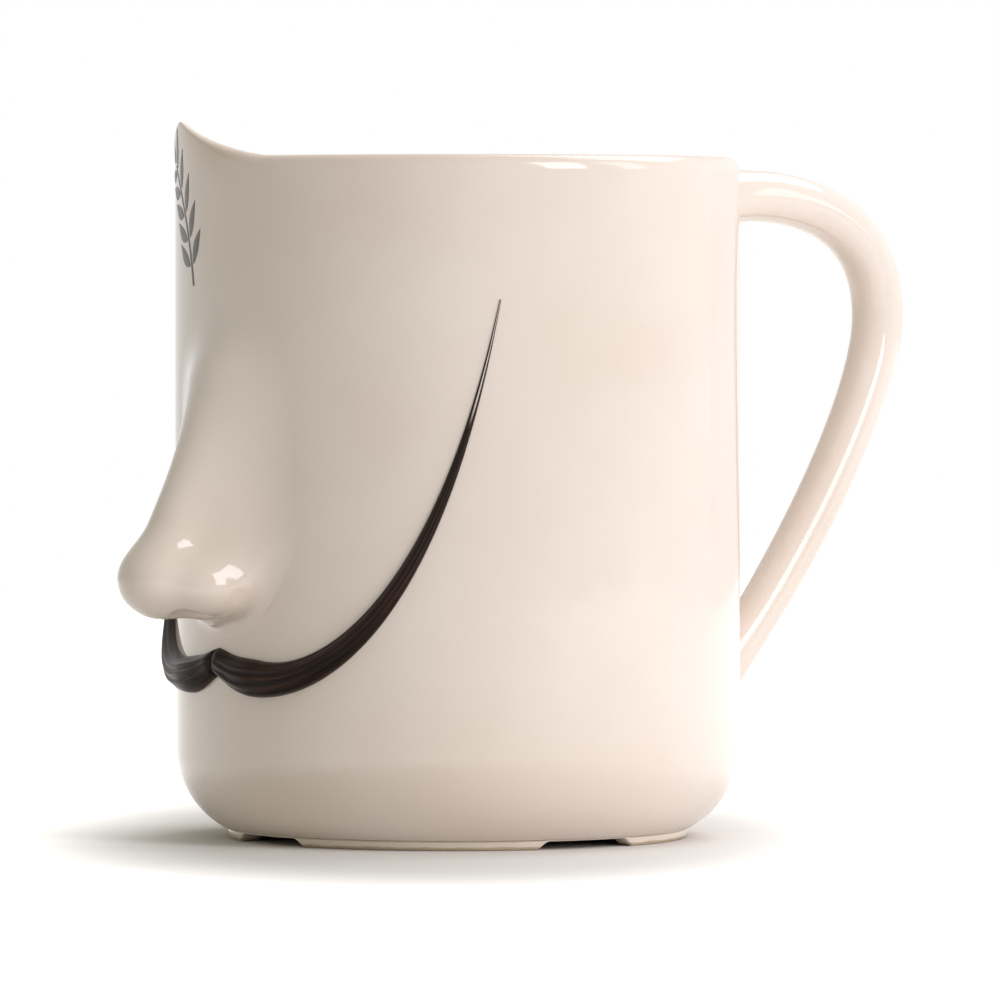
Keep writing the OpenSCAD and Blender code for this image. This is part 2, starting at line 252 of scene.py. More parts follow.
# floor: pale matt sweep; what the camera sees of it is lifted to white, and it keeps the cup's shadow
clearHands()
bpy.ops.mesh.primitive_plane_add(size=2 * stage["floorHalf"] * mm, location=(0, 0, 0))
floor = bpy.context.object
floor.name = "floorSweep"
floorMaterial, tree = newMaterial("pale studio floor")
spot = addNode(tree, "ShaderNodeTexCoord").outputs["Object"]
oval = addNode(tree, "ShaderNodeMapping", {"Vector": spot, "Rotation": (0, 0, -viewBearing)})
oval = addNode(tree, "ShaderNodeVectorMath", {0: oval.outputs[0], 1: (1, stage["glowOval"], 1)},
               operation="MULTIPLY")
away = addNode(tree, "ShaderNodeVectorMath", {0: oval.outputs[0]}, operation="LENGTH")
near = addNode(tree, "ShaderNodeMapRange", {"Value": away.outputs["Value"], 1: stage["glowFrom"] * mm,
                                            2: stage["glowFull"] * mm, 3: 0.0, 4: stage["nearGlow"]},
               interpolation_type="SMOOTHSTEP")
far = addNode(tree, "ShaderNodeMapRange", {"Value": away.outputs["Value"], 1: stage["farFrom"] * mm,
                                           2: stage["farFull"] * mm, 3: 0.0, 4: stage["farGlow"]})
spread = addNode(tree, "ShaderNodeMath", {0: near.outputs[0], 1: far.outputs[0]}, operation="ADD")
glow = addNode(tree, "ShaderNodeMath", {0: seenByCamera(tree), 1: spread.outputs[0]}, operation="MULTIPLY")
paper = addNode(tree, "ShaderNodeBsdfDiffuse", {"Color": toLinear(stage["floorColour"])})
lift = addNode(tree, "ShaderNodeEmission", {"Strength": glow.outputs[0]})
both = addNode(tree, "ShaderNodeAddShader", {0: paper.outputs[0], 1: lift.outputs[0]})
addNode(tree, "ShaderNodeOutputMaterial", {"Surface": both.outputs[0]})
floor.data.materials.append(floorMaterial)

# world: even studio white, plain white where the camera looks past the floor
world = bpy.data.worlds.new("studioWhite")
bpy.context.scene.world = world
world.use_nodes = True
tree = world.node_tree
tree.nodes.clear()
fill = addNode(tree, "ShaderNodeBackground",
               {"Color": toLinear(stage["worldColour"]), "Strength": stage["worldStrength"]})
backdrop = addNode(tree, "ShaderNodeBackground", {"Color": (1, 1, 1, 1), "Strength": 1.0})
either = addNode(tree, "ShaderNodeMixShader",
                 {0: seenByCamera(tree), 1: fill.outputs[0], 2: backdrop.outputs[0]})
addNode(tree, "ShaderNodeOutputWorld", {"Surface": either.outputs[0]})

# lamps stand round the camera's view: right is +, towards the camera is +, up is +, all in mm
lamps = {
    "keyFront": {"right": 728, "near": 752, "up": 540, "width": 368, "height": 832, "watts": 6.3},
    "keySide": {"right": 1024, "near": 272, "up": 536, "width": 248, "height": 832, "watts": 1.86},
    "topPanel": {"right": 464, "near": -464, "up": 962, "width": 800, "height": 576, "watts": 5.59},
    "sideCard": {"right": 1024, "near": -144, "up": 183, "width": 992, "height": 416, "watts": 0.32},
}
lampAim = Vector((0, 0, stage["lampAim"] * mm))
for lampName, lamp in lamps.items():
    clearHands()
    place = viewRight * lamp["right"] * mm + viewNear * lamp["near"] * mm + Vector((0, 0, lamp["up"] * mm))
    bpy.ops.object.light_add(type="AREA", location=place)
    light = bpy.context.object
    light.name = lampName
    light.data.shape = "RECTANGLE"
    light.data.size = lamp["width"] * mm
    light.data.size_y = lamp["height"] * mm
    light.data.energy = lamp["watts"]
    light.data.color = toLinear(stage["lampColour"])[:3]
    light.rotation_euler = (lampAim - place).to_track_quat("-Z", "Y").to_euler()
print("stage set:", len(lamps), "lamps")


# glazes and clay

def ivoryGlaze():
    # clear-ivory glaze over cast white stoneware: wet gloss, slow pooling of tone, a faint ripple in
    # the reflections, and a warmer, duller line where it runs thin over the lip
    material, tree = newMaterial("ivory glaze on stoneware")
    spot = addNode(tree, "ShaderNodeTexCoord").outputs["Object"]
    pooling = addNode(tree, "ShaderNodeTexNoise", {"Vector": spot, "Scale": 1 / (28 * mm), "Detail": 2.0,
                                                   "Roughness": 0.45})  # patches 28 mm across
    poolFac = addNode(tree, "ShaderNodeMapRange", {"Value": pooling.outputs[0], 1: 0.35, 2: 0.68})
    tone = addNode(tree, "ShaderNodeMix",
                   {0: poolFac.outputs[0], 6: toLinear("#efe3d9"), 7: toLinear("#e9dbcf")},
                   data_type="RGBA")
    thin = addNode(tree, "ShaderNodeAttribute", attribute_name="glazeThin")
    thinFac = addNode(tree, "ShaderNodeMath", {0: thin.outputs["Fac"], 1: 0.5}, operation="MULTIPLY")
    worn = addNode(tree, "ShaderNodeMix",
                   {0: thinFac.outputs[0], 6: tone.outputs[2], 7: toLinear("#d6bfa6")},
                   data_type="RGBA")
    grain = addNode(tree, "ShaderNodeTexNoise", {"Vector": spot, "Scale": 1 / (0.9 * mm),
                                                 "Detail": 2.0})  # clay grain 0.9 mm, seen faintly
    grainFac = addNode(tree, "ShaderNodeMapRange", {"Value": grain.outputs[0], 1: 0.62, 2: 0.8, 4: 0.08})
    body = addNode(tree, "ShaderNodeMix",
                   {0: grainFac.outputs[0], 6: worn.outputs[2], 7: toLinear("#cdb9a4")},
                   data_type="RGBA")
    rough = addNode(tree, "ShaderNodeMapRange",
                    {"Value": pooling.outputs[0], 1: 0.3, 2: 0.7, 3: 0.045, 4: 0.085})
    rougher = addNode(tree, "ShaderNodeMath", {0: thin.outputs["Fac"], 1: 0.2, 2: rough.outputs[0]},
                      operation="MULTIPLY_ADD")
    ripple = addNode(tree, "ShaderNodeTexNoise", {"Vector": spot, "Scale": 1 / (7 * mm),
                                                  "Detail": 1.0})  # ripple 7 mm from crest to crest
    bump = addNode(tree, "ShaderNodeBump",
                   {"Strength": 0.12, "Distance": 0.25 * mm, "Height": ripple.outputs[0]})
    glaze = addNode(tree, "ShaderNodeBsdfPrincipled",
                    {"Base Color": body.outputs[2], "Roughness": rougher.outputs[0], "IOR": 1.52,
                     "Normal": bump.outputs[0]})
    addNode(tree, "ShaderNodeOutputMaterial", {"Surface": glaze.outputs[0]})
    return material


def footClay():
    # the foot is glazed down its side and wiped bare where it stands: matt, gritty clay below an
    # uneven glaze line
    material, tree = newMaterial("wiped stoneware foot")
    spot = addNode(tree, "ShaderNodeTexCoord").outputs["Object"]
    grit = addNode(tree, "ShaderNodeTexNoise", {"Vector": spot, "Scale": 1 / (0.5 * mm),
                                                "Detail": 3.0})  # grit 0.5 mm
    wander = addNode(tree, "ShaderNodeTexNoise", {"Vector": spot, "Scale": 1 / (3 * mm)})
    wanderMm = addNode(tree, "ShaderNodeMapRange",
                       {"Value": wander.outputs[0], 3: -0.25 * mm, 4: 0.25 * mm})
    height = addNode(tree, "ShaderNodeSeparateXYZ", {0: spot}).outputs["Z"]
    line = addNode(tree, "ShaderNodeMath", {0: height, 1: wanderMm.outputs[0]}, operation="ADD")
    glazed = addNode(tree, "ShaderNodeMapRange",
                     {"Value": line.outputs[0], 1: 0.42 * mm, 2: 0.6 * mm}).outputs[0]
    clay = addNode(tree, "ShaderNodeMix",
                   {0: grit.outputs[0], 6: toLinear("#d3c2ad"), 7: toLinear("#b9a58e")},
                   data_type="RGBA")
    skin = addNode(tree, "ShaderNodeMix", {0: glazed, 6: clay.outputs[2], 7: toLinear("#ebdfd1")},
                   data_type="RGBA")
    rough = addNode(tree, "ShaderNodeMapRange", {"Value": glazed, 3: 0.82, 4: 0.15})
    bumpSize = addNode(tree, "ShaderNodeMapRange", {"Value": glazed, 3: 0.5, 4: 0.03})
    bump = addNode(tree, "ShaderNodeBump", {"Strength": bumpSize.outputs[0], "Distance": 0.15 * mm,
                                            "Height": grit.outputs[0]})
    surface = addNode(tree, "ShaderNodeBsdfPrincipled",
                      {"Base Color": skin.outputs[2], "Roughness": rough.outputs[0], "IOR": 1.5,
                       "Normal": bump.outputs[0]})
    addNode(tree, "ShaderNodeOutputMaterial", {"Surface": surface.outputs[0]})
    return material


def hairGlaze():
    # brown-black glaze over combed relief: painted shade darkens the grooves, browner along the strands, with
    # hair-fine streaks in tone and gloss, and a painted highlight as a pale dashed line on the sharp ridge of
    # the tips
    material, tree = newMaterial("brown-black glaze over combed relief")
    along = addNode(tree, "ShaderNodeAttribute", attribute_name="strandAlong")  # mm along the moustache
    across = addNode(tree, "ShaderNodeAttribute", attribute_name="strandAcross")  # mm across it
    grooveShadeFac = addNode(tree, "ShaderNodeAttribute", attribute_name="paintedGrooveShade")
    tipHighlight = addNode(tree, "ShaderNodeAttribute", attribute_name="paintedTipHighlight")
    place = addNode(tree, "ShaderNodeCombineXYZ", {0: along.outputs["Fac"], 1: across.outputs["Fac"]})
    stretch = addNode(tree, "ShaderNodeVectorMath", {0: place.outputs[0], 1: (0.06, 1 / 0.45, 0.0)},
                      operation="MULTIPLY").outputs[0]  # hairs 0.45 mm apart and about 16 mm long
    streak = addNode(tree, "ShaderNodeTexNoise", {"Vector": stretch, "Scale": 1.0, "Detail": 2.0})
    streakFac = addNode(tree, "ShaderNodeMapRange", {"Value": streak.outputs[0], 1: 0.38, 2: 0.68})
    tone = addNode(tree, "ShaderNodeMix",
                   {0: streakFac.outputs[0], 6: toLinear("#1b100a"), 7: toLinear("#402a21")},
                   data_type="RGBA")
    # painted shade: the grooves between strands are coloured near black
    body = addNode(tree, "ShaderNodeMix",
                   {0: grooveShadeFac.outputs["Fac"], 6: toLinear("#0f0907"), 7: tone.outputs[2]},
                   data_type="RGBA")
    # painted highlight: pale dashes along the tips' ridge stand for the gloss's glint there
    glintDashes = addNode(tree, "ShaderNodeTexNoise", {"Vector": stretch, "Scale": 9.0, "Detail": 1.0})
    glintDashFac = addNode(tree, "ShaderNodeMapRange", {"Value": glintDashes.outputs[0], 1: 0.25, 2: 0.45})
    paintedGlint = addNode(tree, "ShaderNodeMath", {0: tipHighlight.outputs["Fac"], 1: glintDashFac.outputs[0]},
                     operation="MULTIPLY")
    skin = addNode(tree, "ShaderNodeMix",
                   {0: paintedGlint.outputs[0], 6: body.outputs[2], 7: toLinear("#efe6dc")},
                   data_type="RGBA")
    rough = addNode(tree, "ShaderNodeMapRange",
                    {"Value": streak.outputs[0], 1: 0.3, 2: 0.7, 3: 0.26, 4: 0.42})
    bump = addNode(tree, "ShaderNodeBump",
                   {"Strength": 0.35, "Distance": 0.06 * mm, "Height": streak.outputs[0]})
    glaze = addNode(tree, "ShaderNodeBsdfPrincipled",
                    {"Base Color": skin.outputs[2], "Roughness": rough.outputs[0], "IOR": 1.5,
                     "Specular IOR Level": 0.12, "Normal": bump.outputs[0]})
    addNode(tree, "ShaderNodeOutputMaterial", {"Surface": glaze.outputs[0]})
    return material


def transferInk():
    # ceramic transfer fired on to the glaze: dark grey-brown, a shade lighter where the ink film
    # broke up, satin beside the wet gloss around it
    material, tree = newMaterial("fired transfer ink")
    spot = addNode(tree, "ShaderNodeTexCoord").outputs["Object"]
    film = addNode(tree, "ShaderNodeTexNoise", {"Vector": spot, "Scale": 1 / (1.1 * mm), "Detail": 4.0,
                                                "Roughness": 0.6})  # breaks 1.1 mm across
    breakUp = addNode(tree, "ShaderNodeMapRange", {"Value": film.outputs[0], 1: 0.45, 2: 0.75})
    tone = addNode(tree, "ShaderNodeMix",
                   {0: breakUp.outputs[0], 6: toLinear("#3f3735"), 7: toLinear("#6b6159")},
                   data_type="RGBA")
    rough = addNode(tree, "ShaderNodeMapRange",
                    {"Value": film.outputs[0], 1: 0.3, 2: 0.7, 3: 0.28, 4: 0.42})
    bump = addNode(tree, "ShaderNodeBump",
                   {"Strength": 0.2, "Distance": 0.03 * mm, "Height": film.outputs[0]})
    ink = addNode(tree, "ShaderNodeBsdfPrincipled",
                  {"Base Color": tone.outputs[2], "Roughness": rough.outputs[0], "IOR": 1.5,
                   "Normal": bump.outputs[0]})
    addNode(tree, "ShaderNodeOutputMaterial", {"Surface": ink.outputs[0]})
    return material


ivory = ivoryGlaze()
clayFoot = footClay()
hair = hairGlaze()
ink = transferInk()
print("glazes mixed")


def dress(piece, material, slotName, *nodes):
    piece.data.materials.clear()
    piece.data.materials.append(material)
    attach(piece, "root")
    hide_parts(*nodes)


# cup: base, corner, wall, lip and inside as one spun profile, then the rim pulled up into its crest

cup = {
    "radius": 42.0,
    "wall": 4.0,
    "rimHeight": 101.0,
    "footHeight": 1.5,
    "floorTop": 6.5,
    "cornerRadius": 14.0,
    "edge": 0.35,  # rounding of the corner's lower edge, over the foot ring
    "innerCorner": 9.0,
    "dome": 1.2,
    "seatOuter": 34.7,
    "seatInner": 30.3,
    "lipHeight": 2.0,
    "hold": 0.3,  # rows this close to lip and corners keep the wall's shading straight
    "crestHeight": 5.2,
    "crestBearing": -22.5,
    "crestSpread": 34.0,
    "crestPower": 1.4,
    "crestBevel": 3.8,
    "crestLip": 1.0,
    "crestRound": 1.0,
    "pullFrom": 78.0,  # height from which the wall stretches up into the crest
    "slack": 0.01,
    "steps": 288,
    "rows": {"dome": 10, "edge": 5, "corner": 24, "wall": 24, "lip": 24, "inner": 14, "floor": 6},
    "mergeAt": 0.002,
    "smooth": 35,
}


def cornerMiddle():
    across = cup["radius"] - cup["cornerRadius"]
    down = math.sqrt(cup["cornerRadius"] ** 2 - (cup["seatOuter"] - across) ** 2)
    return across, cup["footHeight"] + down


def wallRadius(height):
    across, up = cornerMiddle()
    return across + np.sqrt(np.maximum(cup["cornerRadius"] ** 2 - np.maximum(up - height, 0) ** 2, 0))


def onWall(run, height, relief):
    # places given along the wall from the face's middle, up it and out from it
    turn = run / cup["radius"]
    radius = cup["radius"] + relief
    return np.stack([radius * np.sin(turn), -radius * np.cos(turn), height], 1)


def cupProfile():
    c, rows = cup, cup["rows"]
    cornerX, cornerZ = cornerMiddle()
    edgeZ = c["footHeight"] + c["edge"]
    edgeX = cornerX + math.sqrt((c["cornerRadius"] - c["edge"]) ** 2 - (cornerZ - edgeZ) ** 2)
    edgeDeg = math.degrees(math.atan2(edgeZ - cornerZ, edgeX - cornerX))
    bore = c["radius"] - c["wall"]
    half = c["wall"] / 2
    lipStart = c["rimHeight"] - c["lipHeight"]
    innerZ = c["floorTop"] + c["innerCorner"]
    wallLow, wallHigh = cornerZ + c["hold"], lipStart - c["hold"]
    under = [(c["seatInner"] * s, c["footHeight"] + c["dome"] * (1 - s ** 2)) for s in shares(rows["dome"])]
    edge = arcPoints((edgeX, edgeZ), c["edge"], -90, edgeDeg, rows["edge"])
    corner = arcPoints((cornerX, cornerZ), c["cornerRadius"], edgeDeg, 0, rows["corner"])[1:]
    wallUp = [(c["radius"], mix(wallLow, wallHigh, s)) for s in shares(rows["wall"])]
    lip = [(c["radius"] - half + half * math.cos(a), lipStart + c["lipHeight"] * math.sin(a))
           for a in np.linspace(0, math.pi, rows["lip"] + 1)]
    wallDown = [(bore, mix(wallHigh, innerZ + c["hold"], s)) for s in shares(rows["wall"])]
    inside = arcPoints((bore - c["innerCorner"], innerZ), c["innerCorner"], 0, -90, rows["inner"])
    floorIn = [(mix(inside[-1][0], 0, s), c["floorTop"]) for s in shares(rows["floor"])[1:]]
    return under + edge + corner + wallUp + lip + wallDown + inside + floorIn


def crestShare(points):
    bearing = np.degrees(np.arctan2(points[:, 0], -points[:, 1]))
    turn = (bearing - cup["crestBearing"] + 540) % 360 - 180
    off = np.sqrt(turn ** 2 + cup["crestRound"] ** 2) - cup["crestRound"]
    return np.clip(1 - off / cup["crestSpread"], 0, 1) ** cup["crestPower"]


def pullCrest(piece):
    c = cup
    points = readPoints(piece) / mm
    share = crestShare(points)
    radius = np.hypot(points[:, 0], points[:, 1])
    height = points[:, 2].copy()
    lipStart = c["rimHeight"] - c["lipHeight"]
    lip = mix(c["lipHeight"], c["crestLip"], share)
    tilt = c["crestBevel"] * share / c["wall"]
    peak = np.sqrt(lip ** 2 + (tilt * c["wall"] / 2) ** 2) - tilt * c["wall"] / 2
    low = c["rimHeight"] + c["crestHeight"] * share - peak - tilt * (c["radius"] - radius)
    onLip = low + lip * (height - lipStart) / c["lipHeight"]
    stretch = (low - c["pullFrom"]) / (lipStart - c["pullFrom"])
    pulled = np.where(height >= lipStart, onLip, c["pullFrom"] + (height - c["pullFrom"]) * stretch)
    upper = (radius > c["radius"] - c["wall"] - c["slack"]) & (height > c["pullFrom"])
    points[:, 2] = np.where(upper, pulled, height)
    writePoints(piece, points * mm)
    thin = np.clip((points[:, 2] - lipStart) / c["lipHeight"], 0, 1) ** 2  # over lip and crest
    writeValue(piece, "glazeThin", thin)


cupBody = spunProfile("cupBody", cupProfile(), cup)
pullCrest(cupBody)
smoothSkin(cupBody, cup["smooth"])
dress(cupBody, ivory, "glaze", "cup_body")
print("cup spun:", len(cupBody.data.vertices), "points")


# foot ring: spun bearing, lifted into four drain notches with run-out ends

foot = {
    "outer": 34.2,
    "width": 3.4,
    "height": 1.5,
    "edge": 0.55,
    "shoulder": 0.4,  # rounding under the cup's edge, which leaves a fine groove there
    "notches": 4,
    "notchWidth": 13.2,
    "notchDepth": 1.2,
    "notchFlare": 2.1,
    "steps": 720,
    "rows": {"round": 6, "flat": 4, "side": 3},
    "mergeAt": 0.002,
    "smooth": 50,
}


def footProfile():
    f, rows = foot, foot["rows"]
    inner = f["outer"] - f["width"]
    edge, shoulder = f["edge"], f["shoulder"]
    outside = arcPoints((f["outer"] - edge, edge), edge, -90, 0, rows["round"])
    inside = arcPoints((inner + edge, edge), edge, 180, 270, rows["round"])
    flat = [(mix(inside[-1][0], outside[0][0], s), 0) for s in shares(rows["flat"])[1:-1]]
    top = arcPoints((f["outer"] - shoulder, f["height"] - shoulder), shoulder, 0, 90, rows["round"])
    down = [(inner, mix(f["height"], edge, s)) for s in shares(rows["side"])[:-1]]
    ring = outside + top + down + inside + flat
    return ring + [ring[0]]


def cutNotches(piece):
    points = readPoints(piece) / mm
    radius = np.hypot(points[:, 0], points[:, 1])
    pitch = 2 * math.pi / foot["notches"]
    bearing = np.arctan2(points[:, 0], -points[:, 1])
    off = np.abs((bearing + pitch / 2) % pitch - pitch / 2) * radius
    opened = smoothStep((foot["notchWidth"] / 2 + foot["notchFlare"] - off) / foot["notchFlare"])
    left = 1 - opened * foot["notchDepth"] / foot["height"]
    points[:, 2] = foot["height"] - (foot["height"] - points[:, 2]) * left
    writePoints(piece, points * mm)


footRing = spunProfile("footRing", footProfile(), foot)
cutNotches(footRing)
smoothSkin(footRing, foot["smooth"])
dress(footRing, clayFoot, "bisque", "foot_ring")
print("foot turned:", len(footRing.data.vertices), "points")


# handle: a strap section drawn along a curve, flared and filleted where it is luted to the wall

ear = {
    "upper": [(42.0, 94.2), (57.0, 97.7), (78.1, 95.2), (78.1, 77.5)],
    "lower": [(78.1, 77.5), (78.1, 60.5), (50.0, 22.5), (42.0, 18.0)],
    "width": 8.4,
    "thickness": 8.0,
    "taper": (1.0, 1.0, 0.955, 0.805, 0.805),  # size of the section at the curve's points, top to bottom
    "fullness": 0.57,  # reach of the section's Bezier handles: a shade fuller than an ellipse
    "flare": 1.2,
    "flareLength": 13.0,
    "fillet": 3.0,
    "leastFillet": 0.3,
    "lipClear": 1.0,  # how far the fillet stays below the rim
    "sink": 2.0,  # run of each end inside the wall
    "bite": 0.1,  # depth at which the fillet's edge goes under the glaze
    "tail": 10.0,  # spare length of the drawn curve, cut off by the wall
    "tailReach": 0.3,  # reach of the tail's Bezier handles, as a share of it
    "reset": 22.0,  # distance from the wall over which the rings turn to lie along it
    "steps": 110,
    "sectionSteps": 14,
    "mergeAt": 0.0005,
    "smooth": 60,
}


def earSection():
    clearHands()
    bpy.ops.curve.primitive_bezier_circle_add(radius=1)
    section = bpy.context.object
    section.data.resolution_u = ear["sectionSteps"]
    size = Vector((ear["width"] / 2 * mm, ear["thickness"] / 2 * mm, 1))
    corners = [(point.co.copy(), (point.handle_right - point.co).normalized() * ear["fullness"])
               for point in section.data.splines[0].bezier_points]
    for point, (out, reach) in zip(section.data.splines[0].bezier_points, corners):
        point.handle_left_type = point.handle_right_type = "FREE"
        point.co = out * size
        point.handle_right = (out + reach) * size
        point.handle_left = (out - reach) * size
    return section


def earRun():
    clearHands()
    bpy.ops.curve.primitive_bezier_curve_add()
    run = bpy.context.object
    run.data.dimensions = "3D"
    run.data.resolution_u = ear["steps"]
    spline = run.data.splines[0]
    spline.bezier_points.add(3)
    start, rise, shoulder, knuckle = [Vector((0, u * mm, z * mm)) for u, z in ear["upper"]]
    _, fall, turn, end = [Vector((0, u * mm, z * mm)) for u, z in ear["lower"]]
    first = (rise - start).normalized() * ear["tail"] * mm
    last = (end - turn).normalized() * ear["tail"] * mm
    reach = ear["tailReach"]
    path = [(start - first * (1 + reach), start - first, start - first * (1 - reach)),
            (start - first * reach, start, rise),
            (shoulder, knuckle, fall),
            (turn, end, end + last * reach),
            (end + last * (1 - reach), end + last, end + last * (1 + reach))]
    for point, (before, place, after), size in zip(spline.bezier_points, path, ear["taper"]):
        point.handle_left_type = point.handle_right_type = "FREE"
        point.handle_left, point.co, point.handle_right = before, place, after
        point.radius = size
    return run


def drawEar():
    section, run = earSection(), earRun()
    run.data.bevel_mode = "OBJECT"
    run.data.bevel_object = section
    pickUp(run)
    bpy.ops.object.convert(target="MESH")
    piece = bpy.context.object
    piece.name = piece.data.name = "handleEar"
    throwAway(section)
    return piece


def luteEar(piece):
    # swell the ends, set their last rings on the wall, and sweep those out along it in a wiped fillet
    columns = 4 * ear["sectionSteps"]
    points = readPoints(piece).reshape(-1, columns, 3) / mm
    middle = np.repeat(points.mean(1, keepdims=True), columns, 1)
    swell = mix(ear["flare"], 1.0, smoothStep((middle[:, :, 1] - cup["radius"]) / ear["flareLength"]))
    points = middle + (points - middle) * swell[:, :, None]
    column = np.arange(columns)
    sunk = 1 - ear["sink"] / cup["radius"]
    for ends in (slice(None), slice(None, None, -1)):
        skin, core = points[ends].copy(), middle[ends].copy()
        # where each column of the section goes under the wall, counted in rings
        gap = np.hypot(skin[:, :, 0], skin[:, :, 1]) - wallRadius(skin[:, :, 2]) + ear["bite"]
        last = int(np.argmax(core[:, 0, 1] > cup["radius"] + ear["reset"]))
        first = last - np.argmax(gap[last::-1] < 0, axis=0)
        edge = first + gap[first, column] / (gap[first, column] - gap[first + 1, column])
        # rings spaced afresh from there, closest at the wall
        pace = np.linalg.norm(np.diff(core[:last + 2, 0], axis=0), axis=1)
        length = np.concatenate([[0], np.cumsum(pace)])
        start = np.interp(edge, np.arange(last + 2), length)
        share = np.clip((np.arange(last + 1) - 1) / (last - 1), 0, 1)[:, None] ** 2
        place = np.interp(start + (length[last] - start) * share, length, np.arange(last + 2))
        low = np.minimum(place.astype(int), last - 1)
        part = (place - low)[:, :, None]
        newSkin = mix(skin[low, column], skin[low + 1, column], part)
        newCore = mix(core[low, column], core[low + 1, column], part)
        # the fillet: each ring is pushed out along the wall, the more the nearer it lies
        wallOut = newSkin * np.array([1, 1, 0])
        radius = np.linalg.norm(wallOut, axis=2, keepdims=True)
        wallOut = wallOut / radius
        away = newSkin - newCore
        away = unit(away - (away * wallOut).sum(2, keepdims=True) * wallOut)
        room = cup["rimHeight"] - ear["lipClear"] - newSkin[:, :, 2:]
        fillet = np.clip(room, ear["leastFillet"], ear["fillet"])
        lift = radius - wallRadius(newSkin[:, :, 2:])
        rise = np.clip(lift + ear["bite"], 0, fillet)
        newSkin = newSkin + away * (fillet - np.sqrt(np.maximum(fillet ** 2 - (fillet - rise) ** 2, 0)))
        seat = wallRadius(newSkin[:, :, 2:]) + lift
        newSkin[:, :, :2] *= seat / np.linalg.norm(newSkin[:, :, :2], axis=2, keepdims=True)
        newSkin[0] = newSkin[1] * np.array([sunk, sunk, 1])
        points[ends][:last + 1] = newSkin
    writePoints(piece, points.reshape(-1, 3) * mm)


handleEar = drawEar()
luteEar(handleEar)
closeSkin(handleEar, ear["mergeAt"] * mm)
smoothSkin(handleEar, ear["smooth"])
dress(handleEar, ivory, "glaze", "handle")
print("handle drawn:", len(handleEar.data.vertices), "points")


# nose: tip, ridge, flanks, wings and septum melted together and into the wall

nose = {
    "base": 33.7,  # a third of the way from foot to rim
    "length": 33.0,
    "width": 19.0,
    "projection": 16.0,
    "tip": 5.0,
    "tipForm": (1.04, 1.0, 0.94),  # across, out and up
    "tipRise": 5.2,  # height of the tip's middle over the base
    "ridge": 2.8,
    "ridgeEnd": 0.8,  # its radius at the tip, as a share of the tip's
    "ridgeLift": 1.2,  # its end over the tip's middle
    "rootIn": 1.0,  # depth inside the wall at which ridge and septum start
    "flank": 7.0,
    "flankTop": (-5.5, -2.0, -0.5),  # out from the wall, up from the root, and wider than flank by
    "flankFoot": (1.5, 7.0, 0.4),  # out from the wall, up from the base, and wider than flank by
    "wing": (3.7, 5.6, 4.1),
    "wingOut": 4.3,
    "wingRise": 0.4,
    "septum": (2.4, 2.2),  # radius at the wall and at the tip
    "septumRise": 2.4,
    "septumEnd": (0.0, -0.6, -2.0),  # from the tip's middle
    "nostril": (1.8, 3.4, 2.4),
    "nostrilAt": (3.6, 0.42, -0.5),  # across, out as a share of the projection, up from the base
    "soft": (5.0, 4.5, 3.6, 2.4),  # how far flanks, tip, wings and septum melt into the rest
    "nostrilSoft": 1.3,
    "underFillet": 3.0,
    "sideFillet": 9.0,
    "filletFrom": -1.0,  # up from the base, where the fillet starts to grow
    "filletOver": 14.0,
    "feather": 0.012,  # how far the skin is let in, so that its edge dips under the wall
    "middle": 0.34,  # height that the spokes start from, as a share of the length
    "heartDrop": 3.5,
    "spine": (0.25, 3.0, 3.0),  # share of the edge's run, most run, and depth where the outer rays start
    "spineEnds": (5.0, 4.0),  # up from the base, and down from the root
    "widest": 40.0,
    "farthest": 60.0,
    "backDepth": 1.2,
    "halvings": 34,
    "spokes": 160,
    "rings": 96,
    "backRings": 3,  # edge, half way in and middle of the hidden back
    "mergeAt": 0.002,
    "smooth": 50,
}


def melt(a, b, k):
    h = np.maximum(k - np.abs(a - b), 0) / k
    return np.minimum(a, b) - h * h * k / 4


def rodField(p, a, b, ra, rb):
    a, b = np.asarray(a, float), np.asarray(b, float)
    t = np.clip(((p - a) @ (b - a)) / ((b - a) @ (b - a)), 0, 1)
    return np.linalg.norm(p - a - t[:, None] * (b - a), axis=1) - mix(ra, rb, t)


def eggField(p, centre, radii):
    q = (p - np.asarray(centre, float)) / np.asarray(radii, float)
    near = np.maximum(np.linalg.norm(q / np.asarray(radii, float), axis=1), 1e-6)
    size = np.linalg.norm(q, axis=1)
    return size * (size - 1) / near


def noseFrame(p):
    # from the cup's frame to the nose's own, across, out from the wall and up, or back again
    return np.stack([p[:, 0], -p[:, 1] - cup["radius"], p[:, 2]], 1)


def tipMiddle():
    return np.array([0, nose["projection"] - nose["tip"], nose["base"] + nose["tipRise"]])


